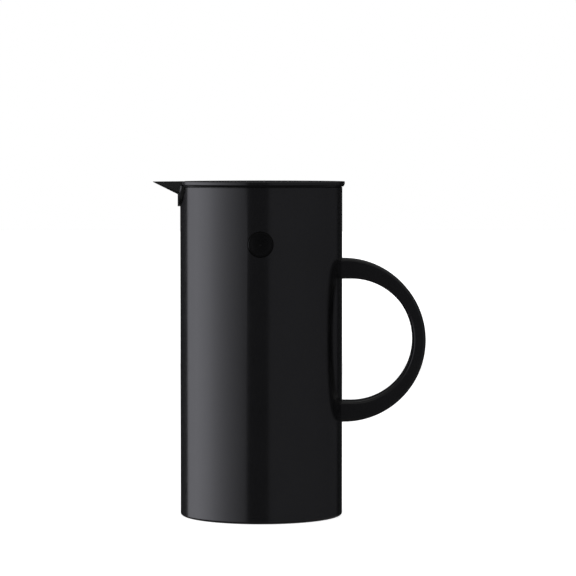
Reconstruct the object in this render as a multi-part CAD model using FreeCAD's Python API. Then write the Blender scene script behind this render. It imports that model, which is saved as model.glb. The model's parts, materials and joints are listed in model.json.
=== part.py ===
import FreeCAD, Part
import math
import os

# A half-litre vacuum jug: plastic shell, glass flask, pouring collar with a beak, rocking lid.
# Millimetres. +Z is up, the origin is on the jug's axis where it stands, the beak points to -X.

# Outer shell
BODY_RADIUS = 48.5
SHELL_WALL = 2.2
SHELL_TOP = 196.75
RIM_ROUND = 0.3
FOOT_ROUND = 1.3
FOOT_RING_WIDTH = 5.0
FOOT_RECESS = 1.8
FLOOR_THICKNESS = 3.0

# Lid
RIM_GAP = 1.45
LID_EDGE = 1.8
LID_OVERHANG = 1.5
LID_PLATE = 1.5
LID_LIP_WIDTH = 0.9
LID_EDGE_ROUND = 0.3
LID_CORNER_ROUND = 1.5
LID_BEAK_GAP = 0.5

# Beak and the round bib below it
BEAK_OVERHANG = 16.2
BEAK_HALF_WIDTH = 17.0
BEAK_KEEL_DROP = 4.2
BEAK_TOP_DROP = 0.1
BEAK_WALL = 1.6
BEAK_TIP_HALF_WIDTH = 0.35
BEAK_TIP_THICKNESS = 0.35
BEAK_TIP_ROUND = 0.1
BEAK_SIDE_LEAN = 30.0
BEAK_BILGE_ROUND = 5.0
BIB_PROUD = 1.5
BIB_ARC_RADIUS = 18.3
BIB_DROP = 11.7
BIB_CLEARANCE = 0.25

# Pouring collar
SKIRT_CLEARANCE = 0.2
SKIRT_WALL = 1.7
SKIRT_BELOW_GUIDE = 0.9
FLANGE_THICKNESS = 0.6
FLANGE_INSET = 1.5
BOWL_WALL = 1.8
BOWL_DEPTH = 9.0
BOWL_ROUND = 6.0
BOWL_FALL = 2.7
THROAT_RADIUS = 18.5
THROAT_HEIGHT = 1.8
SEAT_WIDTH = 5.2
CUP_WALL = 1.6
CUP_DEPTH = 9.0
SEAL_RING_SECTION = 0.5
SEAL_RING_DROP = 17.0
SEAL_RING_SQUEEZE = 0.3

# Lid pivot and its magnets
PIVOT_INSET = 3.9
PIVOT_RISE = 1.2
PIVOT_RADIUS = 1.0
PIVOT_FIT = 0.05
PIVOT_HALF_LENGTH = 8.5
PIVOT_CHAMFER = 0.25
CLIP_INNER = 4.5
CLIP_WALL = 0.7
CLIP_WRAP = 0.4
CLIP_CLEARANCE = 0.4
CLIP_SWING_ROOM = 0.9
MAGNET_RADIUS = 4.0
MAGNET_HEIGHT = 4.0
MAGNET_SPACING = 13.0
MAGNET_SKIN = 0.6
MAGNET_FIT = 0.05
MAGNET_LAND = 2.2
KEEPER_THICKNESS = 1.0
KEEPER_MARGIN = 0.6
KEEPER_GAP = 1.0
STAKE_RADIUS = 1.2
STAKE_HEAD = 0.5
STAKE_HEAD_SPREAD = 0.9
STAKE_SPACING = 18.0

# Glass flask, gasket and cushion
FLASK_AIR_GAP = 4.3
GLASS = 1.6
VACUUM_GAP = 3.5
NECK_BORE = 18.0
NECK_VACUUM_GAP = 2.2
FLASK_BOTTOM_LIFT = 6.0
FLASK_BOTTOM_ROUND = 24.0
SHOULDER_DROP = 49.0
NECK_LENGTH = 19.0
SHOULDER_ROUND = 16.0
NECK_ROUND = 12.0
TIP_LENGTH = 4.0
TIP_RADIUS = 3.0
GASKET_THICKNESS = 1.5
GASKET_WALL = 1.2
GASKET_ROUND = 0.5
SOFT_FIT = 0.05
CUSHION_HOLE = 9.0
CUSHION_RISE = 12.0
CUSHION_WALL_GAP = 1.5
CUSHION_FIT = 0.2

# Stopper under the lid
STOPPER_RADIUS = 14.0
STOPPER_WALL = 1.6
STOPPER_TIP_RADIUS = 11.0
STOPPER_TAPER = 5.0
STOPPER_DIP = 11.4
STOPPER_FLOOR = 2.0
STOPPER_RECESS = 4.0
STOPPER_FIT = 0.15
SEAL_HEIGHT = 5.4
SEAL_GROOVE = 1.0
SEAL_LIP = 1.6
SEAL_LIP_ROUND = 0.4
SEAL_TOP_ROUND = 0.8
SEAT_GAP = 0.42
SPIGOT_WALL = 1.2
SPIGOT_LENGTH = 4.4
BOSS_RADIUS = 4.2
BALLAST_HEIGHT = 15.0
BALLAST_FIT = 0.3
STOPPER_SCREW_RADIUS = 1.45
STOPPER_SCREW_GRIP = 12.0
STOPPER_SCREW_HEAD = 2.1
STOPPER_SCREW_HEAD_RADIUS = 3.0
SCREW_FIT = 0.1
SCREW_CROSS_WIDTH = 0.8
SCREW_CROSS_LENGTH = 3.4
SCREW_CROSS_DEPTH = 1.1
END_CAP_THICKNESS = 1.5
END_CAP_RIM = 1.2
END_CAP_RIM_HEIGHT = 1.4
END_CAP_FIT = 0.1

# Release buttons at the front and the back
BUTTON_DROP = 33.1
BUTTON_RADIUS = 7.15
BUTTON_CLEARANCE = 0.5
BUTTON_PROUD = 0.3
BUTTON_DISH = 0.5
BUTTON_RIM = 0.9
BUTTON_EDGE_ROUND = 0.35
BUTTON_FLANGE = 1.4
BUTTON_FLANGE_THICKNESS = 1.4
BUTTON_FLANGE_GAP = 0.25
BUTTON_TRAVEL = 3.4
BUTTON_STEM_RADIUS = 3.0
BUTTON_STEM_REST = 1.2
BUTTON_STEM_ROUND = 0.75
GUIDE_WALL = 1.2
GUIDE_FLOOR = 1.4
GUIDE_CLEARANCE = 0.4
GUIDE_SEAT_GAP = 0.05
SPRING_WIRE = 0.8
SPRING_TURNS = 4
SPRING_PRESSED = 5.8
SPRING_STEM_GAP = 0.4
SPRING_END_GAP = 0.05

# Ring handle
HANDLE_INNER_RADIUS = 36.8
HANDLE_END_THICKNESS = 12.0
HANDLE_BACK_THICKNESS = 7.6
HANDLE_CENTRE_OFFSET = 1.0
HANDLE_SKIRT_GAP = 0.2
HANDLE_WIDTH = 19.0
HANDLE_EDGE_ROUND = 1.6
HANDLE_SEAT_GAP = 0.05
PEG_RADIUS = 3.0
PEG_FIT = 0.15
HANDLE_SCREW_RADIUS = 1.6
HANDLE_SCREW_LENGTH = 14.0
HANDLE_SCREW_HEAD = 2.0
HANDLE_SCREW_HEAD_RADIUS = 3.2
WASHER_LAND = 1.25
WASHER_THICKNESS = 1.0

# Heights and radii that several pieces share
SHELL_INNER = BODY_RADIUS - SHELL_WALL
FLOOR_TOP = FOOT_RECESS + FLOOR_THICKNESS
LID_UNDER = SHELL_TOP + RIM_GAP
LID_TOP = LID_UNDER + LID_EDGE
LID_RADIUS = BODY_RADIUS + LID_OVERHANG
PLATE_UNDER = LID_TOP - LID_PLATE
FLANGE_TOP = SHELL_TOP + FLANGE_THICKNESS
SKIRT_OUTER = SHELL_INNER - SKIRT_CLEARANCE
SKIRT_INNER = SKIRT_OUTER - SKIRT_WALL
BIB_RADIUS = BODY_RADIUS + BIB_PROUD
BIB_ARC_Z = SHELL_TOP - BIB_DROP + BIB_ARC_RADIUS
BEAK_TOP = LID_TOP - BEAK_TOP_DROP
BEAK_REACH = BODY_RADIUS + BEAK_OVERHANG
BEAK_KNEE_Z = SHELL_TOP - BEAK_KEEL_DROP
BEAK_REAR = math.sqrt(BIB_RADIUS ** 2 - BEAK_HALF_WIDTH ** 2)
BEAK_SPREAD = (BEAK_HALF_WIDTH - BEAK_TIP_HALF_WIDTH) / (BEAK_REACH - BEAK_REAR)
BEAK_LEAN = math.tan(math.radians(BEAK_SIDE_LEAN))
BEAK_RISE = (BEAK_TOP - BEAK_TIP_THICKNESS - BEAK_KNEE_Z) / (BEAK_REACH - BIB_RADIUS)
SEAT_TOP = SHELL_TOP - BOWL_DEPTH - BOWL_FALL
SEAT_BOTTOM = SEAT_TOP - SEAT_WIDTH
THROAT_BOTTOM = SEAT_BOTTOM - THROAT_HEIGHT
FLASK_LIP = THROAT_BOTTOM - GASKET_THICKNESS - SOFT_FIT
FLASK_BOTTOM = FLOOR_TOP + FLASK_BOTTOM_LIFT
FLASK_RADIUS = SHELL_INNER - FLASK_AIR_GAP
NECK_RADIUS = NECK_BORE + GLASS + NECK_VACUUM_GAP + GLASS
CUP_INNER = NECK_RADIUS + GASKET_WALL + 2 * SOFT_FIT
PIVOT_X = BODY_RADIUS - PIVOT_INSET
PIVOT_Z = SHELL_TOP + PIVOT_RISE
CLIP_BOTTOM = PIVOT_Z - CLIP_WRAP
KEEPER_BOTTOM = PLATE_UNDER - KEEPER_THICKNESS
MAGNET_BLOCK_TOP = KEEPER_BOTTOM - KEEPER_GAP
MAGNET_TOP = MAGNET_BLOCK_TOP - MAGNET_SKIN
MAGNET_X = SKIRT_INNER - MAGNET_LAND - MAGNET_RADIUS
STOPPER_BOTTOM = THROAT_BOTTOM - STOPPER_DIP
STOPPER_FLOOR_UNDER = STOPPER_BOTTOM + STOPPER_RECESS
STOPPER_FLOOR_TOP = STOPPER_FLOOR_UNDER + STOPPER_FLOOR
STOPPER_BORE = STOPPER_RADIUS - STOPPER_WALL
BUTTON_Z = SHELL_TOP - BUTTON_DROP
HOLE_RADIUS = BUTTON_RADIUS + BUTTON_CLEARANCE
FLANGE_RADIUS = BUTTON_RADIUS + BUTTON_FLANGE
BUTTON_FACE = BODY_RADIUS + BUTTON_PROUD
BUTTON_FLANGE_FACE = math.sqrt(SHELL_INNER ** 2 - FLANGE_RADIUS ** 2) - BUTTON_FLANGE_GAP
BUTTON_FLANGE_BACK = BUTTON_FLANGE_FACE - BUTTON_FLANGE_THICKNESS
SPRING_LENGTH = SPRING_PRESSED + BUTTON_TRAVEL
GUIDE_BORE = FLANGE_RADIUS + GUIDE_CLEARANCE
GUIDE_RADIUS = GUIDE_BORE + GUIDE_WALL
SKIRT_BOTTOM = BUTTON_Z - GUIDE_RADIUS - SKIRT_BELOW_GUIDE
GUIDE_FLOOR_TOP = BUTTON_FLANGE_BACK - SPRING_LENGTH
GUIDE_BACK = GUIDE_FLOOR_TOP - GUIDE_FLOOR
PEG_END = SHELL_INNER + PEG_FIT
WASHER_RADIUS = PEG_RADIUS + PEG_FIT + WASHER_LAND
WASHER_FACE = SHELL_INNER - SOFT_FIT
WASHER_BACK = WASHER_FACE - WASHER_THICKNESS
HANDLE_OUTER_RADIUS = HANDLE_INNER_RADIUS + HANDLE_END_THICKNESS
HANDLE_OUTER_X = BODY_RADIUS + HANDLE_CENTRE_OFFSET + HANDLE_OUTER_RADIUS
HANDLE_INNER_X = HANDLE_OUTER_X - HANDLE_BACK_THICKNESS
HANDLE_TOP_Z = SKIRT_BOTTOM - HANDLE_SKIRT_GAP - WASHER_RADIUS
HANDLE_CENTRE_Z = HANDLE_TOP_Z - (HANDLE_OUTER_RADIUS + HANDLE_INNER_RADIUS) / 2
HANDLE_BOTTOM_Z = HANDLE_CENTRE_Z - (HANDLE_OUTER_RADIUS + HANDLE_INNER_RADIUS) / 2

# Length of a cutting tool that passes right through what it cuts
THROUGH = 2 * SHELL_TOP
X_AXIS = FreeCAD.Vector(1, 0, 0)
Y_AXIS = FreeCAD.Vector(0, 1, 0)
Z_AXIS = FreeCAD.Vector(0, 0, 1)
ORIGIN = FreeCAD.Vector(0, 0, 0)


def vector(x, y, z):
    return FreeCAD.Vector(x, y, z)


def in_xz(a, b):
    return vector(a, 0, b)


def rounded_wire(points, place=in_xz):
    """Closed wire through corners (a, b) or (a, b, radius), each radius a tangent arc."""
    corners = [place(p[0], p[1]) for p in points]
    radii = [p[2] if len(p) > 2 else 0 for p in points]
    arcs = []
    for i, corner in enumerate(corners):
        to_last = (corners[i - 1] - corner).normalize()
        to_next = (corners[(i + 1) % len(corners)] - corner).normalize()
        half = to_last.getAngle(to_next) / 2
        cut = radii[i] / math.tan(half)
        inward = (to_last + to_next).normalize() if radii[i] else ORIGIN
        middle = corner + inward * (radii[i] / math.sin(half) - radii[i])
        arcs.append((corner + to_last * cut, middle, corner + to_next * cut))
    edges = []
    for i, (start, middle, end) in enumerate(arcs):
        if radii[i]:
            edges.append(Part.Arc(start, middle, end).toShape())
        following = arcs[(i + 1) % len(arcs)][0]
        if end.distanceToPoint(following) > Part.Precision.confusion():
            edges.append(Part.LineSegment(end, following).toShape())
    return Part.Wire(Part.__sortEdges__(edges))


def lathe(points):
    """Solid of revolution about Z from corners (radius, height) or (radius, height, round)."""
    return Part.Face(rounded_wire(points)).revolve(ORIGIN, Z_AXIS, 360)


def disc(radius, bottom, top):
    return Part.makeCylinder(radius, top - bottom, vector(0, 0, bottom))


def ring(inner, outer, bottom, top):
    return disc(outer, bottom, top).cut(disc(inner, bottom, top))


def block(x, y, z):
    """Box between the (low, high) pairs on the three axes."""
    return Part.makeBox(x[1] - x[0], y[1] - y[0], z[1] - z[0], vector(x[0], y[0], z[0]))


def rod_y(radius, x, y, z):
    return Part.makeCylinder(radius, y[1] - y[0], vector(x, y[0], z), Y_AXIS)


def fused(first, *others):
    return first.fuse(list(others)).removeSplitter()


def mirrored(shape):
    return shape.mirror(ORIGIN, Y_AXIS)


def facing(shape, side):
    """Turn a piece built along +Z to point out of the shell at a button, side -1 front or 1 back."""
    turned = shape.copy()
    turned.rotate(ORIGIN, X_AXIS, -90 * side)
    turned.translate(vector(0, 0, BUTTON_Z))
    return turned


def along_x(shape, z):
    """Turn a piece built along +Z to lie along +X at the given height."""
    turned = shape.copy()
    turned.rotate(ORIGIN, Y_AXIS, 90)
    turned.translate(vector(0, 0, z))
    return turned


def both_handle_ends(shape):
    return [along_x(shape, z) for z in (HANDLE_TOP_Z, HANDLE_BOTTOM_Z)]


def cross_screw(radius, length, head_radius, head_height, seat):
    """Screw up along Z with a domed head below its seat and a cross recess in the head."""
    bottom = seat - head_height
    screw = lathe([
        (0, bottom),
        (head_radius, bottom, head_height / 2),
        (head_radius, seat),
        (radius, seat),
        (radius, seat + length),
        (0, seat + length),
    ])
    long = (-SCREW_CROSS_LENGTH / 2, SCREW_CROSS_LENGTH / 2)
    wide = (-SCREW_CROSS_WIDTH / 2, SCREW_CROSS_WIDTH / 2)
    deep = (bottom, bottom + SCREW_CROSS_DEPTH)
    return screw.cut([block(long, wide, deep), block(wide, long, deep)])


# Shell and handle


def bib_arc(radius, inner_x):
    """Round prism that the bib and its notch are cut from, at the front only."""
    start = vector(inner_x, 0, BIB_ARC_Z)
    return Part.makeCylinder(radius, THROUGH, start, -X_AXIS)


def outer_shell():
    foot_inner = BODY_RADIUS - FOOT_RING_WIDTH
    cup = lathe([
        (0, FOOT_RECESS),
        (foot_inner - FOOT_RECESS, FOOT_RECESS),
        (foot_inner, 0),
        (BODY_RADIUS, 0, FOOT_ROUND),
        (BODY_RADIUS, SHELL_TOP, RIM_ROUND),
        (SHELL_INNER, SHELL_TOP),
        (SHELL_INNER, FLOOR_TOP, SHELL_WALL),
        (0, FLOOR_TOP),
    ])
    notch = bib_arc(BIB_ARC_RADIUS + BIB_CLEARANCE, -BODY_RADIUS / 2)
    button_holes = rod_y(HOLE_RADIUS, 0, (-THROUGH, THROUGH), BUTTON_Z)
    peg_hole = disc(PEG_RADIUS + PEG_FIT, 0, THROUGH)
    return cup.cut([notch, button_holes] + both_handle_ends(peg_hole))


def handle():
    root_x = BODY_RADIUS / 2
    outline = rounded_wire([
        (root_x, HANDLE_CENTRE_Z - HANDLE_OUTER_RADIUS),
        (HANDLE_OUTER_X, HANDLE_CENTRE_Z - HANDLE_OUTER_RADIUS, HANDLE_OUTER_RADIUS),
        (HANDLE_OUTER_X, HANDLE_CENTRE_Z + HANDLE_OUTER_RADIUS, HANDLE_OUTER_RADIUS),
        (root_x, HANDLE_CENTRE_Z + HANDLE_OUTER_RADIUS),
        (root_x, HANDLE_CENTRE_Z + HANDLE_INNER_RADIUS),
        (HANDLE_INNER_X, HANDLE_CENTRE_Z + HANDLE_INNER_RADIUS, HANDLE_INNER_RADIUS),
        (HANDLE_INNER_X, HANDLE_CENTRE_Z - HANDLE_INNER_RADIUS, HANDLE_INNER_RADIUS),
        (root_x, HANDLE_CENTRE_Z - HANDLE_INNER_RADIUS),
    ])
    bow = Part.Face(outline).extrude(Y_AXIS * HANDLE_WIDTH)
    bow.translate(Y_AXIS * (-HANDLE_WIDTH / 2))
    long_edges = [
        edge for edge in bow.Edges
        if edge.BoundBox.YLength < HANDLE_EDGE_ROUND < edge.BoundBox.XLength
    ]
    bow = bow.makeFillet(HANDLE_EDGE_ROUND, long_edges)
    bow = bow.cut(disc(BODY_RADIUS + HANDLE_SEAT_GAP, 0, SHELL_TOP))
    peg = disc(PEG_RADIUS, PEG_END, BODY_RADIUS + PEG_RADIUS)
    pilot = disc(HANDLE_SCREW_RADIUS + SCREW_FIT, 0, WASHER_BACK + HANDLE_SCREW_LENGTH + PEG_FIT)
    return fused(bow, *both_handle_ends(peg)).cut(both_handle_ends(pilot))


def handle_screws():
    screw = cross_screw(
        HANDLE_SCREW_RADIUS, HANDLE_SCREW_LENGTH, HANDLE_SCREW_HEAD_RADIUS, HANDLE_SCREW_HEAD, WASHER_BACK
    )
    return Part.makeCompound(both_handle_ends(screw))


def handle_washers():
    blank = ring(HANDLE_SCREW_RADIUS + SCREW_FIT, WASHER_RADIUS, WASHER_BACK, SHELL_INNER)
    curved_seat = disc(WASHER_FACE, 0, SHELL_TOP)
    return Part.makeCompound([washer.common(curved_seat) for washer in both_handle_ends(blank)])


# Flask


def flask_form(radius, neck, bottom, corner, lip):
    """Closed bottle form: rounded bottom, straight side, sloped shoulder, straight neck."""
    return lathe([
        (0, bottom),
        (radius, bottom, corner),
        (radius, FLASK_LIP - SHOULDER_DROP, SHOULDER_ROUND),
        (neck, FLASK_LIP - NECK_LENGTH, NECK_ROUND),
        (neck, lip),
        (0, lip),
    ])


def flask_outer_wall():
    joint = FLASK_LIP - GLASS
    outside = flask_form(FLASK_RADIUS, NECK_RADIUS, FLASK_BOTTOM, FLASK_BOTTOM_ROUND, joint)
    inside = flask_form(
        FLASK_RADIUS - GLASS, NECK_RADIUS - GLASS, FLASK_BOTTOM + GLASS, FLASK_BOTTOM_ROUND - GLASS, joint
    )
    nib = Part.makeCone(TIP_RADIUS / 2, TIP_RADIUS, TIP_LENGTH, vector(0, 0, FLASK_BOTTOM - TIP_LENGTH))
    root = disc(TIP_RADIUS, FLASK_BOTTOM, FLASK_BOTTOM + GLASS / 2)
    return fused(outside.cut(inside), nib, root)


def flask_inner_wall():
    step = GLASS + VACUUM_GAP
    bottom = FLASK_BOTTOM + step
    corner = FLASK_BOTTOM_ROUND - step
    joint = FLASK_LIP - GLASS
    outside = flask_form(FLASK_RADIUS - step, NECK_BORE + GLASS, bottom, corner, joint)
    lip = disc(NECK_RADIUS, joint, FLASK_LIP)
    inside = flask_form(
        FLASK_RADIUS - step - GLASS, NECK_BORE, bottom + GLASS, corner - GLASS, FLASK_LIP
    )
    return fused(outside, lip).cut(inside)


def neck_gasket():
    top = THROAT_BOTTOM - SOFT_FIT / 2
    return lathe([
        (THROAT_RADIUS, top),
        (CUP_INNER - SOFT_FIT, top, GASKET_ROUND),
        (CUP_INNER - SOFT_FIT, THROAT_BOTTOM - CUP_DEPTH),
        (NECK_RADIUS + SOFT_FIT, THROAT_BOTTOM - CUP_DEPTH),
        (NECK_RADIUS + SOFT_FIT, FLASK_LIP + SOFT_FIT / 2),
        (THROAT_RADIUS, FLASK_LIP + SOFT_FIT / 2),
    ])


def flask_cushion():
    rim = FLOOR_TOP + CUSHION_RISE
    outer = SHELL_INNER - CUSHION_WALL_GAP
    foot = FLOOR_TOP + SOFT_FIT
    pad = lathe([
        (CUSHION_HOLE, foot),
        (outer, foot, SHELL_WALL),
        (outer, rim, CUSHION_WALL_GAP),
        (CUSHION_HOLE, rim),
    ])
    flask = flask_form(
        FLASK_RADIUS + CUSHION_FIT,
        NECK_RADIUS,
        FLASK_BOTTOM - CUSHION_FIT,
        FLASK_BOTTOM_ROUND + CUSHION_FIT,
        FLASK_LIP,
    )
    return pad.cut(flask)


# Pouring collar with the beak


def beak_section(x, half_width, bottom, corner):
    keel_half_width = half_width - (BEAK_TOP - bottom) * BEAK_LEAN
    return rounded_wire(
        [
            (-half_width, BEAK_TOP),
            (-keel_half_width, bottom, corner),
            (keel_half_width, bottom, corner),
            (half_width, BEAK_TOP),
        ],
        lambda y, z: vector(x, y, z),
    )


def beak_wedge():
    """Pointed wedge whose sides lean in to a keel that rises to the tip, with rounded bilges."""
    tip = beak_section(-BEAK_REACH, BEAK_TIP_HALF_WIDTH, BEAK_TOP - BEAK_TIP_THICKNESS, BEAK_TIP_ROUND)
    root = beak_section(
        -SKIRT_INNER,
        BEAK_TIP_HALF_WIDTH + (BEAK_REACH - SKIRT_INNER) * BEAK_SPREAD,
        BEAK_KNEE_Z - (BIB_RADIUS - SKIRT_INNER) * BEAK_RISE,
        BEAK_BILGE_ROUND,
    )
    return Part.makeLoft([tip, root], True, True)


def beak_trough():
    """The wedge moved back and up by one wall, joined through the bib to the bowl."""
    side_reach = math.hypot(BEAK_SPREAD, 1, BEAK_LEAN)
    keel_reach = math.hypot(BEAK_RISE, 1)
    back = BEAK_WALL * (side_reach - keel_reach * BEAK_LEAN) / (BEAK_SPREAD - BEAK_RISE * BEAK_LEAN)
    up = BEAK_WALL * keel_reach - back * BEAK_RISE
    channel = beak_wedge()
    channel.translate(vector(back, 0, up))
    inside = disc(BIB_RADIUS - BEAK_WALL, 0, LID_TOP)
    gate = inside.common(bib_arc(BIB_ARC_RADIUS - BEAK_WALL, -SKIRT_INNER + BOWL_ROUND))
    return channel.cut(inside).fuse(gate)


def beak():
    wedge = beak_wedge().cut(disc(BODY_RADIUS + BIB_CLEARANCE, 0, LID_TOP))
    bib_ring = ring(SKIRT_INNER, BIB_RADIUS, SHELL_TOP - BIB_DROP, FLANGE_TOP)
    bib = bib_ring.common(bib_arc(BIB_ARC_RADIUS, -BODY_RADIUS / 2))
    behind_wings = block((-BEAK_REAR, THROUGH), (-THROUGH, THROUGH), (0, THROUGH))
    return wedge.cut(behind_wings).fuse(bib)


def bowl():
    """Skirt inside the shell, thin flange on its rim, bowl, stopper seat and neck cup."""
    seat_radius = THROAT_RADIUS + SEAT_WIDTH
    wall_foot = SEAT_TOP + BOWL_FALL
    cup_outer = CUP_INNER + CUP_WALL
    return lathe([
        (SKIRT_INNER, SKIRT_BOTTOM),
        (SKIRT_OUTER, SKIRT_BOTTOM),
        (SKIRT_OUTER, SHELL_TOP),
        (BODY_RADIUS - FLANGE_INSET, SHELL_TOP),
        (BODY_RADIUS - FLANGE_INSET, FLANGE_TOP),
        (SKIRT_INNER, FLANGE_TOP),
        (SKIRT_INNER, wall_foot, BOWL_ROUND),
        (seat_radius, SEAT_TOP),
        (THROAT_RADIUS, SEAT_BOTTOM),
        (THROAT_RADIUS, THROAT_BOTTOM),
        (CUP_INNER, THROAT_BOTTOM),
        (CUP_INNER, THROAT_BOTTOM - CUP_DEPTH),
        (cup_outer, THROAT_BOTTOM - CUP_DEPTH),
        (cup_outer, SEAT_TOP - BOWL_WALL),
        (SKIRT_INNER, wall_foot - BOWL_WALL, BOWL_WALL),
    ])


def magnet_block():
    reach = MAGNET_RADIUS + MAGNET_LAND
    half_width = MAGNET_SPACING / 2 + reach
    shelf = block((MAGNET_X - reach, SKIRT_OUTER), (-half_width, half_width), (SEAT_TOP, MAGNET_BLOCK_TOP))
    front_edges = [
        edge for edge in shelf.Edges
        if edge.BoundBox.ZLength > MAGNET_LAND and edge.BoundBox.XMax < MAGNET_X
    ]
    return shelf.makeFillet(MAGNET_LAND, front_edges).common(disc(SKIRT_OUTER, SEAT_TOP, MAGNET_BLOCK_TOP))


def magnets(radius, bottom):
    return [
        Part.makeCylinder(radius, MAGNET_TOP - bottom, vector(MAGNET_X, side * MAGNET_SPACING / 2, bottom))
        for side in (-1, 1)
    ]


def pivot_reliefs():
    """Seat for the bar in the flange and room beside it for the lid's two clips."""
    inner = CLIP_INNER - CLIP_CLEARANCE
    outer = PIVOT_HALF_LENGTH + CLIP_CLEARANCE
    reach = PIVOT_RADIUS + CLIP_WALL + CLIP_CLEARANCE
    groove = rod_y(PIVOT_RADIUS + PIVOT_FIT, PIVOT_X, (-outer, outer), PIVOT_Z)
    room = block((PIVOT_X - reach, BODY_RADIUS), (inner, outer), (CLIP_BOTTOM - CLIP_SWING_ROOM, LID_TOP))
    return [groove, room, mirrored(room)]


def pour_collar():
    seal_z = SHELL_TOP - SEAL_RING_DROP
    groove = ring(
        SHELL_INNER - 2 * (SEAL_RING_SECTION + SOFT_FIT),
        BODY_RADIUS,
        seal_z - SEAL_RING_SECTION - SEAL_RING_SQUEEZE,
        seal_z + SEAL_RING_SECTION + SEAL_RING_SQUEEZE,
    )
    guide_hole = rod_y(GUIDE_BORE, 0, (GUIDE_BACK, THROUGH), BUTTON_Z)
    pockets = magnets(MAGNET_RADIUS + MAGNET_FIT, SEAT_TOP - BOWL_WALL - BOWL_FALL)
    body = fused(bowl(), magnet_block(), beak())
    return body.cut([beak_trough(), groove, guide_hole, mirrored(guide_hole)] + pockets + pivot_reliefs())


def collar_seal_ring():
    centre = SHELL_INNER - SOFT_FIT - SEAL_RING_SECTION
    return Part.makeTorus(centre, SEAL_RING_SECTION, vector(0, 0, SHELL_TOP - SEAL_RING_DROP))


def pivot_magnets():
    return Part.makeCompound(magnets(MAGNET_RADIUS, MAGNET_TOP - MAGNET_HEIGHT))


def pivot_bar():
    bar = rod_y(PIVOT_RADIUS, PIVOT_X, (-PIVOT_HALF_LENGTH, PIVOT_HALF_LENGTH), PIVOT_Z)
    return bar.makeChamfer(PIVOT_CHAMFER, [edge for edge in bar.Edges if edge.Closed])


# Release buttons


def button_guide(side):
    cup = lathe([
        (BUTTON_STEM_RADIUS + GUIDE_CLEARANCE, GUIDE_BACK),
        (GUIDE_RADIUS, GUIDE_BACK, GUIDE_WALL),
        (GUIDE_RADIUS, SKIRT_OUTER),
        (GUIDE_BORE, SKIRT_OUTER),
        (GUIDE_BORE, GUIDE_FLOOR_TOP),
        (BUTTON_STEM_RADIUS + GUIDE_CLEARANCE, GUIDE_FLOOR_TOP),
    ])
    return facing(cup, side).common(disc(SKIRT_INNER - GUIDE_SEAT_GAP, 0, SHELL_TOP))


def release_button(side):
    dish_radius = BUTTON_RADIUS - BUTTON_RIM
    ball = (dish_radius ** 2 + BUTTON_DISH ** 2) / (2 * BUTTON_DISH)
    stem_end = GUIDE_FLOOR_TOP + BUTTON_STEM_REST
    button = lathe([
        (0, stem_end),
        (BUTTON_STEM_RADIUS, stem_end, BUTTON_STEM_ROUND),
        (BUTTON_STEM_RADIUS, BUTTON_FLANGE_BACK),
        (FLANGE_RADIUS, BUTTON_FLANGE_BACK),
        (FLANGE_RADIUS, BUTTON_FLANGE_FACE),
        (BUTTON_RADIUS, BUTTON_FLANGE_FACE),
        (BUTTON_RADIUS, BUTTON_FACE, BUTTON_EDGE_ROUND),
        (0, BUTTON_FACE),
    ])
    dish = Part.makeSphere(ball, vector(0, 0, BUTTON_FACE + ball - BUTTON_DISH))
    return facing(button.cut(dish), side)


def biarc(start, start_way, end, end_way):
    """Two tangent arcs from one point and direction to another."""
    across = end - start
    a = 2 * (1 - start_way.dot(end_way))
    b = 2 * across.dot(start_way + end_way)
    reach = (math.sqrt(b * b + 4 * a * across.dot(across)) - b) / (2 * a)
    handles = (start + start_way * reach, end - end_way * reach)
    join = (handles[0] + handles[1]) * 0.5
    edges = []
    for first, handle_point, last in ((start, handles[0], join), (join, handles[1], end)):
        chord_middle = (first + last) * 0.5
        depth = chord_middle.distanceToPoint(handle_point)
        half = first.distanceToPoint(last) / 2
        sagitta = half * (reach - half) / depth
        middle = chord_middle + (handle_point - chord_middle).normalize() * sagitta
        edges.append(Part.Arc(first, middle, last).toShape())
    return edges


def spring_path(turn):
    """Point and direction on the spring's helix after a number of turns."""
    radius = BUTTON_STEM_RADIUS + SPRING_STEM_GAP + SPRING_WIRE / 2
    climb = (SPRING_LENGTH - SPRING_WIRE - 2 * SPRING_END_GAP) / SPRING_TURNS
    angle = 2 * math.pi * turn
    base = GUIDE_FLOOR_TOP + SPRING_END_GAP + SPRING_WIRE / 2
    point = vector(radius * math.cos(angle), radius * math.sin(angle), base + climb * turn)
    way = vector(-radius * math.sin(angle), radius * math.cos(angle), climb / (2 * math.pi))
    return point, way.normalize()


def button_spring(side):
    quarters = [spring_path(i / 4) for i in range(4 * SPRING_TURNS + 1)]
    edges = []
    for (start, start_way), (end, end_way) in zip(quarters, quarters[1:]):
        edges += biarc(start, start_way, end, end_way)
    section = Part.Wire(Part.makeCircle(SPRING_WIRE / 2, quarters[0][0], quarters[0][1]))
    spring = Part.Wire(edges).makePipeShell([section], True, False)
    return facing(spring, side)


def print_spring_gap():
    turn_rise = spring_path(1)[0].z - spring_path(0)[0].z
    print("spring: least gap between turns %.2f mm" % (turn_rise - SPRING_WIRE))


# Lid and stopper


def lid_form(inset, bottom, top):
    """Disc cut straight behind the beak, with rounded corners at the cut."""
    front = LID_BEAK_GAP + inset - BEAK_REAR
    form = disc(LID_RADIUS - inset, bottom, top)
    form = form.cut(block((-THROUGH, front), (-THROUGH, THROUGH), (0, THROUGH)))
    corners = [
        edge for edge in form.Edges
        if edge.BoundBox.ZLength > (top - bottom) / 2 and edge.BoundBox.XMax < front + LID_CORNER_ROUND
    ]
    return form.makeFillet(LID_CORNER_ROUND, corners)


def lid_clip():
    reach = PIVOT_RADIUS + CLIP_WALL
    return block(
        (PIVOT_X - reach, PIVOT_X + reach), (CLIP_INNER, PIVOT_HALF_LENGTH), (CLIP_BOTTOM, PLATE_UNDER)
    )


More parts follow.
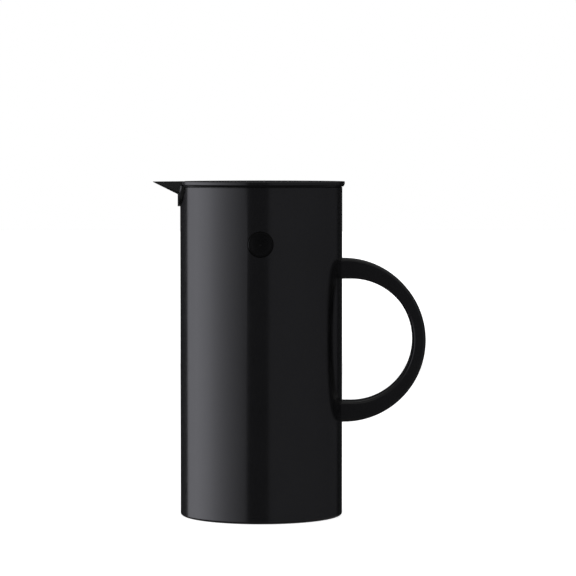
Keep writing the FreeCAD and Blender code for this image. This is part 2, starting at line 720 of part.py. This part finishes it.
def keeper_stake(side):
    head_radius = STAKE_RADIUS + STAKE_HEAD_SPREAD
    stake = lathe([
        (0, KEEPER_BOTTOM - STAKE_HEAD),
        (head_radius, KEEPER_BOTTOM - STAKE_HEAD, STAKE_HEAD / 2),
        (head_radius, KEEPER_BOTTOM),
        (STAKE_RADIUS, KEEPER_BOTTOM),
        (STAKE_RADIUS, PLATE_UNDER),
        (0, PLATE_UNDER),
    ])
    stake.translate(vector(MAGNET_X, side * STAKE_SPACING / 2, 0))
    return stake


def lid_cap():
    plate = lid_form(0, LID_UNDER, LID_TOP)
    top_edges = [edge for edge in plate.Edges if edge.BoundBox.ZMin > LID_TOP - Part.Precision.confusion()]
    plate = plate.makeFillet(LID_EDGE_ROUND, top_edges)
    hollow = lid_form(LID_LIP_WIDTH, LID_UNDER, PLATE_UNDER)
    spigot_outer = STOPPER_BORE - STOPPER_FIT
    spigot = ring(spigot_outer - SPIGOT_WALL, spigot_outer, PLATE_UNDER - SPIGOT_LENGTH, PLATE_UNDER)
    boss = disc(BOSS_RADIUS, STOPPER_FLOOR_TOP + SOFT_FIT, PLATE_UNDER)
    stakes = [keeper_stake(-1), keeper_stake(1)]
    cap = fused(plate.cut(hollow), spigot, boss, lid_clip(), mirrored(lid_clip()), *stakes)
    half_groove = PIVOT_HALF_LENGTH + CLIP_CLEARANCE
    groove = rod_y(PIVOT_RADIUS + PIVOT_FIT, PIVOT_X, (-half_groove, half_groove), PIVOT_Z)
    pilot = disc(
        STOPPER_SCREW_RADIUS + SCREW_FIT,
        STOPPER_FLOOR_TOP,
        STOPPER_FLOOR_UNDER + STOPPER_SCREW_GRIP + STOPPER_SCREW_RADIUS,
    )
    return cap.cut([groove, pilot])


def keeper_plate():
    half_x = MAGNET_RADIUS - KEEPER_MARGIN
    half_y = STAKE_SPACING / 2 + STAKE_RADIUS + STAKE_HEAD_SPREAD + KEEPER_MARGIN
    plate = block((MAGNET_X - half_x, MAGNET_X + half_x), (-half_y, half_y), (KEEPER_BOTTOM, PLATE_UNDER))
    corners = [edge for edge in plate.Edges if edge.BoundBox.ZLength > KEEPER_THICKNESS / 2]
    plate = plate.makeFillet(STAKE_RADIUS, corners)
    holes = []
    for side in (-1, 1):
        hole = disc(STAKE_RADIUS + STOPPER_FIT, 0, THROUGH)
        hole.translate(vector(MAGNET_X, side * STAKE_SPACING / 2, 0))
        holes.append(hole)
    return plate.cut(holes)


def seal_levels():
    """Bottom and top of the seal's place on the stopper."""
    bottom = SEAT_BOTTOM + SEAT_GAP
    return bottom, bottom + SEAL_HEIGHT


def stopper_body():
    seal_bottom, seal_top = seal_levels()
    groove_radius = STOPPER_RADIUS - SEAL_GROOVE
    recess_radius = STOPPER_TIP_RADIUS - STOPPER_WALL
    top = PLATE_UNDER - SOFT_FIT
    return lathe([
        (STOPPER_SCREW_RADIUS + SCREW_FIT, STOPPER_FLOOR_TOP),
        (STOPPER_SCREW_RADIUS + SCREW_FIT, STOPPER_FLOOR_UNDER),
        (recess_radius, STOPPER_FLOOR_UNDER),
        (recess_radius, STOPPER_BOTTOM),
        (STOPPER_TIP_RADIUS, STOPPER_BOTTOM),
        (STOPPER_RADIUS, STOPPER_BOTTOM + STOPPER_TAPER, STOPPER_WALL),
        (STOPPER_RADIUS, seal_bottom - SOFT_FIT),
        (groove_radius, seal_bottom - SOFT_FIT),
        (groove_radius, seal_top + SOFT_FIT),
        (STOPPER_RADIUS, seal_top + SOFT_FIT),
        (STOPPER_RADIUS, top),
        (STOPPER_BORE, top),
        (STOPPER_BORE, seal_top),
        (groove_radius - STOPPER_WALL, seal_top),
        (groove_radius - STOPPER_WALL, STOPPER_FLOOR_TOP),
    ])


def stopper_seal():
    """Soft ring whose cone lies just above the seat in the collar."""
    bottom, top = seal_levels()
    lip = bottom + SEAT_WIDTH - SEAL_LIP
    reach = THROAT_RADIUS + SEAT_WIDTH - SEAL_LIP
    return lathe([
        (STOPPER_RADIUS - SEAL_GROOVE + SOFT_FIT, bottom),
        (THROAT_RADIUS, bottom),
        (reach, lip, SEAL_LIP_ROUND),
        (reach, top, SEAL_TOP_ROUND),
        (STOPPER_RADIUS - SEAL_GROOVE + SOFT_FIT, top),
    ])


def stopper_ballast():
    inner = BOSS_RADIUS + BALLAST_FIT
    outer = STOPPER_RADIUS - SEAL_GROOVE - STOPPER_WALL - BALLAST_FIT
    bottom = STOPPER_FLOOR_TOP + SOFT_FIT
    weight = ring(inner, outer, bottom, bottom + BALLAST_HEIGHT)
    return weight.makeChamfer(BALLAST_FIT, [edge for edge in weight.Edges if edge.Closed])


def stopper_screw():
    return cross_screw(
        STOPPER_SCREW_RADIUS,
        STOPPER_SCREW_GRIP,
        STOPPER_SCREW_HEAD_RADIUS,
        STOPPER_SCREW_HEAD,
        STOPPER_FLOOR_UNDER,
    )


def stopper_end_cap():
    outer = STOPPER_TIP_RADIUS - STOPPER_WALL - END_CAP_FIT
    top = STOPPER_BOTTOM + END_CAP_THICKNESS
    rim_top = top + END_CAP_RIM_HEIGHT
    return lathe([
        (0, STOPPER_BOTTOM),
        (outer, STOPPER_BOTTOM, END_CAP_FIT),
        (outer, rim_top),
        (outer - END_CAP_RIM, rim_top),
        (outer - END_CAP_RIM, top),
        (0, top),
    ])


def main():
    nodes = {
        "outer_shell": outer_shell(),
        "handle": handle(),
        "handle_screws": handle_screws(),
        "handle_washers": handle_washers(),
        "flask_cushion": flask_cushion(),
        "flask_outer_wall": flask_outer_wall(),
        "flask_inner_wall": flask_inner_wall(),
        "neck_gasket": neck_gasket(),
        "pour_collar": pour_collar(),
        "collar_seal_ring": collar_seal_ring(),
        "pivot_magnets": pivot_magnets(),
        "pivot_bar": pivot_bar(),
        "lid_cap": lid_cap(),
        "keeper_plate": keeper_plate(),
        "stopper_body": stopper_body(),
        "stopper_seal": stopper_seal(),
        "stopper_ballast": stopper_ballast(),
        "stopper_screw": stopper_screw(),
        "stopper_end_cap": stopper_end_cap(),
    }
    for name, side in (("front", -1), ("rear", 1)):
        nodes[name + "_release_button"] = release_button(side)
        nodes[name + "_button_guide"] = button_guide(side)
        nodes[name + "_button_spring"] = button_spring(side)
    os.makedirs("parts", exist_ok=True)
    for name, shape in nodes.items():
        shape.exportStep("parts/" + name + ".step")
        print("%s: %d solid, %.0f mm3, valid %s" % (name, len(shape.Solids), shape.Volume, shape.isValid()))
    print_spring_gap()
    return nodes


if __name__ == "__main__":
    main()
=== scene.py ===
import json
import math

import bpy
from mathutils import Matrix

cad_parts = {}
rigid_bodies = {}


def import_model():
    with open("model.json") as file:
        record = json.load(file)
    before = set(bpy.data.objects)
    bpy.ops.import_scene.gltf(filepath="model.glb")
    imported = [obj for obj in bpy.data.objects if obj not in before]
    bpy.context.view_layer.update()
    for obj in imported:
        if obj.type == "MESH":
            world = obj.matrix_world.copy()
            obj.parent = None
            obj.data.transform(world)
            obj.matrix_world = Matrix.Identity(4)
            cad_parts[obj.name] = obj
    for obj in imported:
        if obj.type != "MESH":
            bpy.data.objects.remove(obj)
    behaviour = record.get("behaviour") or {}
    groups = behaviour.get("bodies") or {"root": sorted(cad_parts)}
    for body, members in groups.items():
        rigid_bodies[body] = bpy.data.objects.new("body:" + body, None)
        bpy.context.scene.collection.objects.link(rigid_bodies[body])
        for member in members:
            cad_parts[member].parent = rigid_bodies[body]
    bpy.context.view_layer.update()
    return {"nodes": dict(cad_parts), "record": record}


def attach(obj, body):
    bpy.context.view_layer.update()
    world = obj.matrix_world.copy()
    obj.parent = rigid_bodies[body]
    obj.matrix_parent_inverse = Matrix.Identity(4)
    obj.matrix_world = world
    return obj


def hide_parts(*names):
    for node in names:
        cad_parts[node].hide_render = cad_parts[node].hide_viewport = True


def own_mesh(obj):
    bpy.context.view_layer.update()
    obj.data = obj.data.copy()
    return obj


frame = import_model()

# Camera: position and downward tilt that give the photograph's view of the jug
CAMERA_AT = (0.0160, -1.674, 0.2176)
CAMERA_TILT = 2.788
CAMERA_FIELD = 11.76

SENSOR_WIDTH = 36.0

# Light tent round the jug: radius, lower and upper edge of its cards
TENT_RADIUS = 1.2
TENT_FOOT = -0.28
TENT_HEAD = 0.55

# Slightly cool light, as the greys in the photograph are
LIGHT_TINT = (0.985, 0.985, 1.07)

# Floor: size, drop below the jug's foot, and the glow that keeps it white beside the shadow
FLOOR_RADIUS = 6.0
FLOOR_DROP = 0.0002
FLOOR_GLOW = 0.82

# World: light on surfaces, and the white that the camera and reflections see
AMBIENT_LIGHT = 0.55
BACKGROUND_WHITE = 1.0


def material(name):
    made = bpy.data.materials.new(name)
    made.use_nodes = True
    nodes = made.node_tree.nodes
    return made, nodes, made.node_tree.links, nodes["Principled BSDF"]


def object_coordinates(nodes):
    return nodes.new("ShaderNodeTexCoord").outputs["Object"]


def noise(nodes, links, coordinates, scale, detail=4.0, roughness=0.55):
    made = nodes.new("ShaderNodeTexNoise")
    made.inputs["Scale"].default_value = scale
    made.inputs["Detail"].default_value = detail
    made.inputs["Roughness"].default_value = roughness
    links.new(coordinates, made.inputs["Vector"])
    return made.outputs["Fac"]


def stretched(nodes, links, coordinates, factors):
    made = nodes.new("ShaderNodeMapping")
    made.inputs["Scale"].default_value = factors
    links.new(coordinates, made.inputs["Vector"])
    return made.outputs["Vector"]


def spread_values(nodes, links, fac, low, high, start=0.3, end=0.7):
    made = nodes.new("ShaderNodeMapRange")
    made.inputs["From Min"].default_value = start
    made.inputs["From Max"].default_value = end
    made.inputs["To Min"].default_value = low
    made.inputs["To Max"].default_value = high
    links.new(fac, made.inputs["Value"])
    return made.outputs["Result"]


def two_tones(nodes, links, fac, dark, light, start=0.3, end=0.7):
    made = nodes.new("ShaderNodeValToRGB")
    made.color_ramp.elements[0].position = start
    made.color_ramp.elements[0].color = (*dark, 1)
    made.color_ramp.elements[1].position = end
    made.color_ramp.elements[1].color = (*light, 1)
    links.new(fac, made.inputs["Fac"])
    return made.outputs["Color"]


def bumped(nodes, links, height, distance, strength=1.0, normal=None):
    made = nodes.new("ShaderNodeBump")
    made.inputs["Distance"].default_value = distance
    made.inputs["Strength"].default_value = strength
    links.new(height, made.inputs["Height"])
    if normal is not None:
        links.new(normal, made.inputs["Normal"])
    return made.outputs["Normal"]


def moulded_plastic(name, dark, light, rough, peel, grain, specular):
    """Moulded plastic: slight mottle, uneven polish, broad orange peel and a fine grain."""
    made, nodes, links, shader = material(name)
    at = object_coordinates(nodes)
    mottle = noise(nodes, links, at, 38.0, 6.0, 0.6)
    polish = noise(nodes, links, at, 95.0, 5.0, 0.65)
    links.new(two_tones(nodes, links, mottle, dark, light), shader.inputs["Base Color"])
    links.new(spread_values(nodes, links, polish, rough[0], rough[1]), shader.inputs["Roughness"])
    waves = bumped(nodes, links, noise(nodes, links, at, 210.0, 2.0, 0.4), peel)
    fine = bumped(nodes, links, noise(nodes, links, at, 2600.0, 3.0, 0.6), grain, 1.0, waves)
    links.new(fine, shader.inputs["Normal"])
    shader.inputs["Specular IOR Level"].default_value = specular
    shader.inputs["IOR"].default_value = 1.5
    return made


def silvered_glass(name):
    """Silver behind glass: bright metal with faint streaks under a clear coat."""
    made, nodes, links, shader = material(name)
    at = object_coordinates(nodes)
    streaks = noise(nodes, links, stretched(nodes, links, at, (60.0, 60.0, 9.0)), 1.0, 5.0, 0.6)
    silver = two_tones(nodes, links, streaks, (0.74, 0.75, 0.77), (0.90, 0.90, 0.90))
    links.new(silver, shader.inputs["Base Color"])
    links.new(spread_values(nodes, links, streaks, 0.03, 0.09), shader.inputs["Roughness"])
    drawn = noise(nodes, links, stretched(nodes, links, at, (45.0, 45.0, 14.0)), 1.0, 2.0, 0.4)
    links.new(bumped(nodes, links, drawn, 0.0002), shader.inputs["Normal"])
    shader.inputs["Metallic"].default_value = 1.0
    shader.inputs["Coat Weight"].default_value = 1.0
    shader.inputs["Coat Roughness"].default_value = 0.02
    return made


def turned_metal(name, dark, light, rough, lines):
    """Turned or rolled metal: fine drawn lines in tone, polish and relief."""
    made, nodes, links, shader = material(name)
    at = object_coordinates(nodes)
    drawn = noise(nodes, links, stretched(nodes, links, at, lines), 1.0, 6.0, 0.7)
    links.new(two_tones(nodes, links, drawn, dark, light), shader.inputs["Base Color"])
    links.new(spread_values(nodes, links, drawn, rough[0], rough[1]), shader.inputs["Roughness"])
    links.new(bumped(nodes, links, drawn, 0.00002), shader.inputs["Normal"])
    shader.inputs["Metallic"].default_value = 1.0
    return made


def soft_rubber(name, dark, light, rough, cell_scale, cell_depth):
    """Silicone or foam rubber: dusty tone, matte, with a fine cellular skin."""
    made, nodes, links, shader = material(name)
    at = object_coordinates(nodes)
    dust = noise(nodes, links, at, 70.0, 6.0, 0.65)
    links.new(two_tones(nodes, links, dust, dark, light), shader.inputs["Base Color"])
    links.new(spread_values(nodes, links, dust, rough[0], rough[1]), shader.inputs["Roughness"])
    cells = nodes.new("ShaderNodeTexVoronoi")
    cells.inputs["Scale"].default_value = cell_scale
    links.new(at, cells.inputs["Vector"])
    links.new(bumped(nodes, links, cells.outputs["Distance"], cell_depth), shader.inputs["Normal"])
    shader.inputs["Specular IOR Level"].default_value = 0.3
    return made


GLOSS_BLACK = dict(dark=(0.0030, 0.0030, 0.0033), light=(0.0046, 0.0046, 0.0050), specular=0.5)
POLISHED = dict(rough=(0.14, 0.19), peel=6e-6, grain=1.5e-6)
finishes = {
    "shell_abs": moulded_plastic("shell_abs", **GLOSS_BLACK, **POLISHED),
    "lid_abs": moulded_plastic("lid_abs", **GLOSS_BLACK, **POLISHED),
    "handle_abs": moulded_plastic("handle_abs", **GLOSS_BLACK, rough=(0.17, 0.23), peel=8e-6, grain=2e-6),
    "collar_abs": moulded_plastic("collar_abs", **GLOSS_BLACK, rough=(0.17, 0.24), peel=8e-6, grain=2e-6),
    "button_abs": moulded_plastic(
        "button_abs", dark=(0.0008, 0.0008, 0.0009), light=(0.0014, 0.0014, 0.0015),
        rough=(0.20, 0.28), peel=5e-6, grain=3e-6, specular=0.25,
    ),
    "inner_plastic": moulded_plastic(
        "inner_plastic", dark=(0.030, 0.030, 0.032), light=(0.048, 0.048, 0.052),
        rough=(0.38, 0.50), peel=1e-5, grain=8e-6, specular=0.4,
    ),
    "silvered_glass": silvered_glass("silvered_glass"),
    "cushion_rubber": soft_rubber(
        "cushion_rubber", dark=(0.018, 0.018, 0.018), light=(0.040, 0.040, 0.040),
        rough=(0.75, 0.9), cell_scale=900.0, cell_depth=1.5e-4,
    ),
    "silicone": soft_rubber(
        "silicone", dark=(0.42, 0.42, 0.41), light=(0.56, 0.56, 0.55),
        rough=(0.42, 0.55), cell_scale=2600.0, cell_depth=1.0e-5,
    ),
    "steel": turned_metal(
        "steel", dark=(0.46, 0.46, 0.47), light=(0.64, 0.64, 0.65),
        rough=(0.22, 0.36), lines=(900.0, 900.0, 6000.0),
    ),
    "nickel": turned_metal(
        "nickel", dark=(0.62, 0.60, 0.56), light=(0.78, 0.76, 0.72),
        rough=(0.12, 0.22), lines=(1500.0, 1500.0, 1500.0),
    ),
}
for part in frame["record"]["subparts"]:
    node = frame["nodes"][part["node"]]
    node.data.materials.clear()
    node.data.materials.append(finishes[part["material_slot"]])

for joint in frame["record"]["behaviour"]["joints"]:
    for soft in joint.get("deforming_nodes", []):
        wound = bpy.data.objects.new(soft["node"] + "_wound", frame["nodes"][soft["node"]].data.copy())
        bpy.context.scene.collection.objects.link(wound)
        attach(wound, joint["parent"])
        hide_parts(soft["node"])
        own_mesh(wound)

# Painted shade: thin dark sheet under the lid's round edge, standing in for the shadow in the joint;
# the bearings from the beak that it runs between, the steps of its sweep, and its section as radius and
# height
SHADE_SHEET_FIRST_BEARING = 22.0
SHADE_SHEET_LAST_BEARING = 338.0
SHADE_SHEET_STEPS = 180
SHADE_SHEET_SECTION = [(0.04985, 0.19825), (0.04920, 0.19825), (0.04915, 0.19700), (0.04930, 0.19700)]


def lid_joint_shade_sheet(name):
    """Dark sheet of painted shade that leans in below the lid's edge and closes the joint, open at the beak.
    """
    corners = len(SHADE_SHEET_SECTION)
    vertices, faces = [], []
    for i in range(SHADE_SHEET_STEPS + 1):
        bearing = math.radians(SHADE_SHEET_FIRST_BEARING + (SHADE_SHEET_LAST_BEARING - SHADE_SHEET_FIRST_BEARING) * i / SHADE_SHEET_STEPS)
        vertices += [(-r * math.cos(bearing), r * math.sin(bearing), z) for r, z in SHADE_SHEET_SECTION]
    for i in range(SHADE_SHEET_STEPS):
        for j in range(corners):
            k = (j + 1) % corners
            at, after = corners * i, corners * (i + 1)
            faces.append((at + j, at + k, after + k, after + j))
    last = corners * SHADE_SHEET_STEPS
    faces += [tuple(reversed(range(corners))), tuple(range(last, last + corners))]
    mesh = bpy.data.meshes.new(name)
    mesh.from_pydata(vertices, [], faces)
    # The button's darkest black, used so that the sheet shows as painted shade in the joint
    mesh.materials.append(finishes["button_abs"])
    shade_sheet = bpy.data.objects.new(name, mesh)
    bpy.context.scene.collection.objects.link(shade_sheet)
    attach(shade_sheet, "lid")


lid_joint_shade_sheet("lid_joint_shade_sheet")


def glow(name, strength_at):
    """Light that runs smoothly between its stops, each a bearing and a strength, along a card."""
    made = bpy.data.materials.new(name)
    made.use_nodes = True
    nodes, links = made.node_tree.nodes, made.node_tree.links
    nodes.clear()
    output = nodes.new("ShaderNodeOutputMaterial")
    emission = nodes.new("ShaderNodeEmission")
    emission.inputs["Color"].default_value = (*LIGHT_TINT, 1)
    links.new(emission.outputs["Emission"], output.inputs["Surface"])
    along = nodes.new("ShaderNodeAttribute")
    along.attribute_name = "along"
    ramp = nodes.new("ShaderNodeFloatCurve")
    curve = ramp.mapping.curves[0]
    peak = max(value for _, value in strength_at)
    start, end = strength_at[0][0], strength_at[-1][0]
    stops = [((bearing - start) / (end - start), value / peak) for bearing, value in strength_at]
    curve.points[0].location = stops[0]
    curve.points[1].location = stops[-1]
    for stop in stops[1:-1]:
        curve.points.new(*stop)
    ramp.mapping.update()
    scale = nodes.new("ShaderNodeMath")
    scale.operation = "MULTIPLY"
    scale.inputs[1].default_value = peak
    links.new(along.outputs["Fac"], ramp.inputs["Value"])
    links.new(ramp.outputs["Value"], scale.inputs[0])
    links.new(scale.outputs["Value"], emission.inputs["Strength"])
    return made


CARD_STEPS = 48


def curved_card(name, strength_at):
    """Upright card of the tent between its first and last bearing; 0 faces the camera, positive is right."""
    start, end = strength_at[0][0], strength_at[-1][0]
    vertices, faces, along = [], [], []
    for i in range(CARD_STEPS + 1):
        bearing = math.radians(start + (end - start) * i / CARD_STEPS)
        x, y = TENT_RADIUS * math.sin(bearing), -TENT_RADIUS * math.cos(bearing)
        vertices += [(x, y, TENT_FOOT), (x, y, TENT_HEAD)]
        along += [i / CARD_STEPS, i / CARD_STEPS]
    for i in range(CARD_STEPS):
        faces.append((2 * i, 2 * i + 1, 2 * i + 3, 2 * i + 2))
    mesh = bpy.data.meshes.new(name)
    mesh.from_pydata(vertices, [], faces)
    layer = mesh.attributes.new("along", "FLOAT", "POINT")
    layer.data.foreach_set("value", along)
    card = bpy.data.objects.new(name, mesh)
    bpy.context.scene.collection.objects.link(card)
    mesh.materials.append(glow(name, strength_at))
    card.visible_camera = False
    card.visible_shadow = False


# Bearings that the dark flag in front stands between
FRONT_FLAG_LEFT = -19.5
FRONT_FLAG_RIGHT = 10.8

# A large soft light on the left, a weak one on the right, dark flags between and behind
curved_card("soft_left", [
    (FRONT_FLAG_LEFT, 0.47), (-45, 1.01), (-68, 1.71), (-82, 2.08), (-95, 2.03), (-112, 1.47), (-127, 0.95),
])
curved_card("soft_right", [(FRONT_FLAG_RIGHT, 0.265), (60, 0.255), (116, 0.115), (136, 0.06)])
curved_card("flag_front", [(FRONT_FLAG_LEFT, 0.116), (FRONT_FLAG_RIGHT, 0.116)])
curved_card("flag_left", [(-127.0, 0.10), (-165.0, 0.02), (-180.0, 0.02)])
curved_card("flag_right", [(136.0, 0.02), (165.0, 0.02), (180.0, 0.02)])

DISC_SIDES = 96


def flat_disc(name, radius, centre):
    mesh = bpy.data.meshes.new(name)
    turn = 2 * math.pi / DISC_SIDES
    corners = [(radius * math.cos(i * turn), radius * math.sin(i * turn), 0.0) for i in range(DISC_SIDES)]
    mesh.from_pydata(corners, [], [tuple(range(DISC_SIDES))])
    made = bpy.data.objects.new(name, mesh)
    made.location = centre
    bpy.context.scene.collection.objects.link(made)
    return made


def seen_as_background(nodes, links):
    """1 for rays from the camera, a reflection or glass, 0 for rays that light a surface."""
    path = nodes.new("ShaderNodeLightPath")
    total = path.outputs["Is Camera Ray"]
    for ray in ("Is Glossy Ray", "Is Transmission Ray"):
        either = nodes.new("ShaderNodeMath")
        either.operation = "MAXIMUM"
        links.new(total, either.inputs[0])
        links.new(path.outputs[ray], either.inputs[1])
        total = either.outputs["Value"]
    return total


# Pale floor that stays white to the edge of the picture and keeps a soft shadow under the jug
floor = flat_disc("floor", FLOOR_RADIUS, (0, 0, -FLOOR_DROP))
floor.visible_glossy = False
paper, nodes, links, shader = material("floor_paper")
paper_tone = noise(nodes, links, object_coordinates(nodes), 14.0, 3.0)
paper_colour = two_tones(nodes, links, paper_tone, (0.90, 0.90, 0.90), (0.93, 0.93, 0.93))
links.new(paper_colour, shader.inputs["Base Color"])
shader.inputs["Roughness"].default_value = 0.9
shader.inputs["Emission Color"].default_value = (1, 1, 1, 1)
lift = nodes.new("ShaderNodeMath")
lift.operation = "MULTIPLY"
lift.inputs[1].default_value = FLOOR_GLOW
links.new(seen_as_background(nodes, links), lift.inputs[0])
links.new(lift.outputs["Value"], shader.inputs["Emission Strength"])
floor.data.materials.append(paper)


def dim_flag(name, radius, centre, strength):
    """Level disc of even glow that only reflections reach."""
    flag = flat_disc(name, radius, centre)
    flag.visible_camera = False
    flag.visible_diffuse = False
    flag.visible_shadow = False
    tone = bpy.data.materials.new(name)
    tone.use_nodes = True
    nodes, links = tone.node_tree.nodes, tone.node_tree.links
    emission = nodes.new("ShaderNodeEmission")
    emission.inputs["Strength"].default_value = strength
    links.new(emission.outputs["Emission"], nodes["Material Output"].inputs["Surface"])
    flag.data.materials.append(tone)


dim_flag("flag_ground", TENT_RADIUS, (0, 0, TENT_FOOT), 0.16)
dim_flag("flag_below", 0.40, (-0.35, 0.35, TENT_FOOT + 0.01), 0.03)
dim_flag("flag_top", TENT_RADIUS, (0, 0, TENT_HEAD), 0.35)

# Even light from all round; the background itself is plain white
world = bpy.data.worlds.new("studio")
bpy.context.scene.world = world
world.use_nodes = True
nodes, links = world.node_tree.nodes, world.node_tree.links
background = nodes["Background"]
background.inputs["Color"].default_value = (1, 1, 1, 1)
seen = seen_as_background(nodes, links)
brightness = spread_values(nodes, links, seen, AMBIENT_LIGHT, BACKGROUND_WHITE, 0.0, 1.0)
links.new(brightness, background.inputs["Strength"])

camera_data = bpy.data.cameras.new("camera")
camera = bpy.data.objects.new("camera", camera_data)
bpy.context.scene.collection.objects.link(camera)
camera.location = CAMERA_AT
camera.rotation_euler = (math.radians(90 - CAMERA_TILT), 0, 0)
camera_data.sensor_width = SENSOR_WIDTH
camera_data.lens = SENSOR_WIDTH / 2 / math.tan(math.radians(CAMERA_FIELD / 2))
camera_data.clip_start = 0.05
camera_data.clip_end = 50.0
bpy.context.scene.camera = camera
bpy.context.scene.view_settings.view_transform = "Standard"
